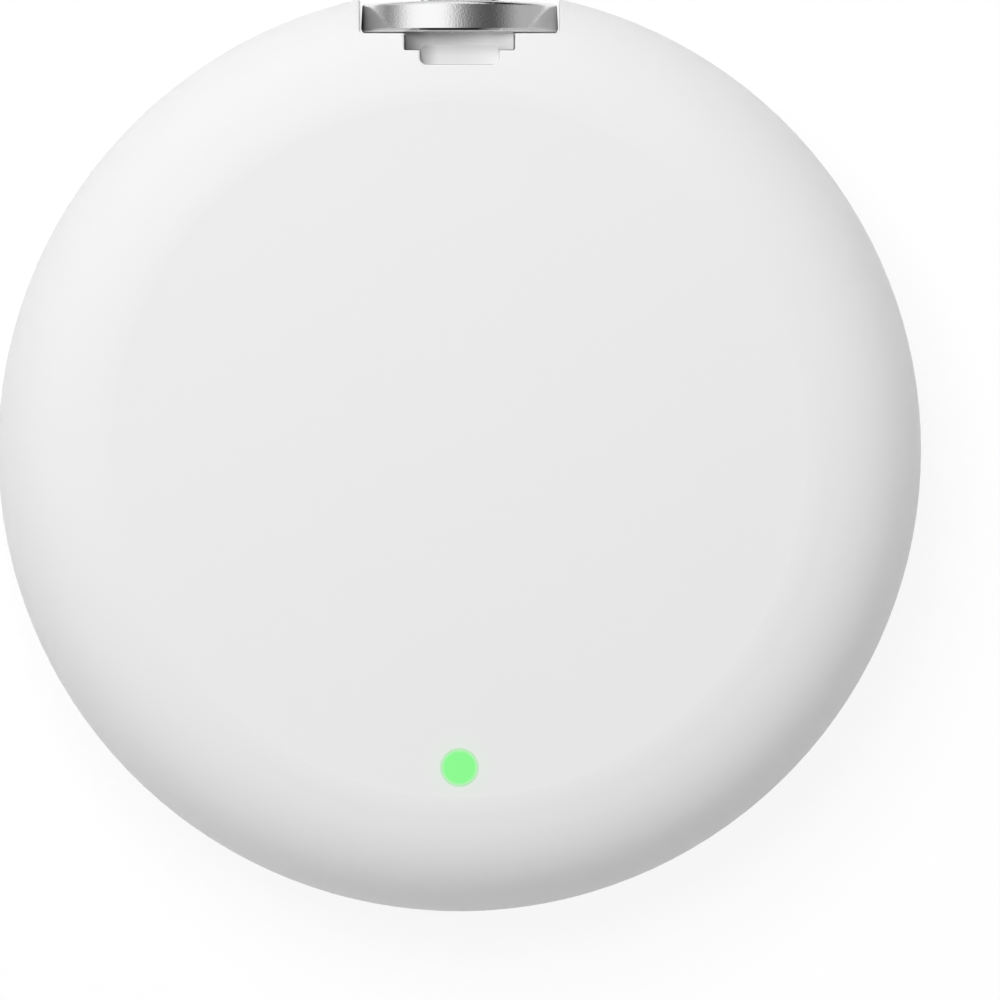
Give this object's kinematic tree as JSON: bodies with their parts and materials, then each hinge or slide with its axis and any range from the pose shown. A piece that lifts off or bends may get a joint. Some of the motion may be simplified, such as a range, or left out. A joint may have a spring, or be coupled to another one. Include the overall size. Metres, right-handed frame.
{
  "type": "gps tracker",
  "caption": "Round palm-sized GPS tracker in two white shells, with a lit status spot and a metal strap key that plugs into a notch in its rim and is freed by a press tab.",
  "frame": {"origin": "centre of the flat back face that the tracker lies on", "axes": "+Z out of the front face with the status light, +Y towards the strap key, +X to the right as seen from the front"},
  "size_m": [0.06, 0.0666, 0.016],
  "materials": {
    "shell_white": "smooth fine-grained matte",
    "tab_white": "smooth satin",
    "key_metal": "polished sides, satin boss",
    "plug_grey": "moulded",
    "socket_grey": "moulded",
    "seal_rubber": "soft moulded",
    "cover_rubber": "soft moulded",
    "light_green": "diffusing, lit from behind",
    "spring_wire": "drawn wire",
    "screw_steel": "zinc plated",
    "magnet_nickel": "nickel plated",
    "can_steel": "tinned sheet",
    "board_green": "solder mask",
    "chip_black": "moulded",
    "lamp_clear": "clear resin",
    "ceramic_tan": "fired ceramic",
    "silver_plate": "fired silver",
    "gold_plate": "gold plated",
    "copper_flex": "copper on amber film",
    "battery_foil": "laminated foil",
    "adhesive_foam": "double-sided foam",
    "wire_red": "extruded",
    "wire_black": "extruded",
    "connector_cream": "moulded",
    "frame_grey": "moulded"
  },
  "bodies": {
    "puck": {"front_shell": "shell_white", "rear_shell": "shell_white", "case_seal": "seal_rubber", "case_screws": "screw_steel", "screw_plugs": "cover_rubber", "catch_spring": "spring_wire", "key_socket": "socket_grey", "port_seal": "seal_rubber", "charge_port_shell": "can_steel", "charge_port_tongue": "chip_black", "light_pipe": "light_green", "status_led": "lamp_clear", "main_board": "board_green", "board_screws": "screw_steel", "board_passives": "ceramic_tan", "gnss_antenna": "ceramic_tan", "gnss_electrode": "silver_plate", "gnss_pin": "silver_plate", "gnss_pad": "adhesive_foam", "cellular_module": "board_green", "module_shield": "can_steel", "cellular_antenna": "copper_flex", "antenna_contacts": "gold_plate", "sim_card": "connector_cream", "sim_holder": "can_steel", "processor": "chip_black", "memory_chip": "chip_black", "crystal": "can_steel", "power_chip": "chip_black", "power_inductor": "chip_black", "motion_sensor": "chip_black", "bluetooth_antenna": "ceramic_tan", "hall_sensor": "chip_black", "battery_cell": "battery_foil", "battery_circuit": "board_green", "battery_pad": "adhesive_foam", "battery_lead_red": "wire_red", "battery_lead_black": "wire_black", "battery_plug": "connector_cream", "battery_header": "connector_cream", "inner_frame": "frame_grey"},
    "strap_key": {"strap_key": "key_metal", "key_magnet": "magnet_nickel", "key_plug": "plug_grey"},
    "release_tab": {"release_tab": "tab_white"}
  },
  "joints": [
    {"name": "key_pull", "type": "slide", "parent": "puck", "child": "strap_key", "axis": [0, 1, 0], "range_m": [0, 0.016], "deforming": ["catch_spring"]},
    {"name": "tab_press", "type": "slide", "parent": "puck", "child": "release_tab", "axis": [0, 0, -1], "range_m": [0, 0.00065], "stiffness_N_per_m": 3000, "springref_m": -0.0002}
  ]
}
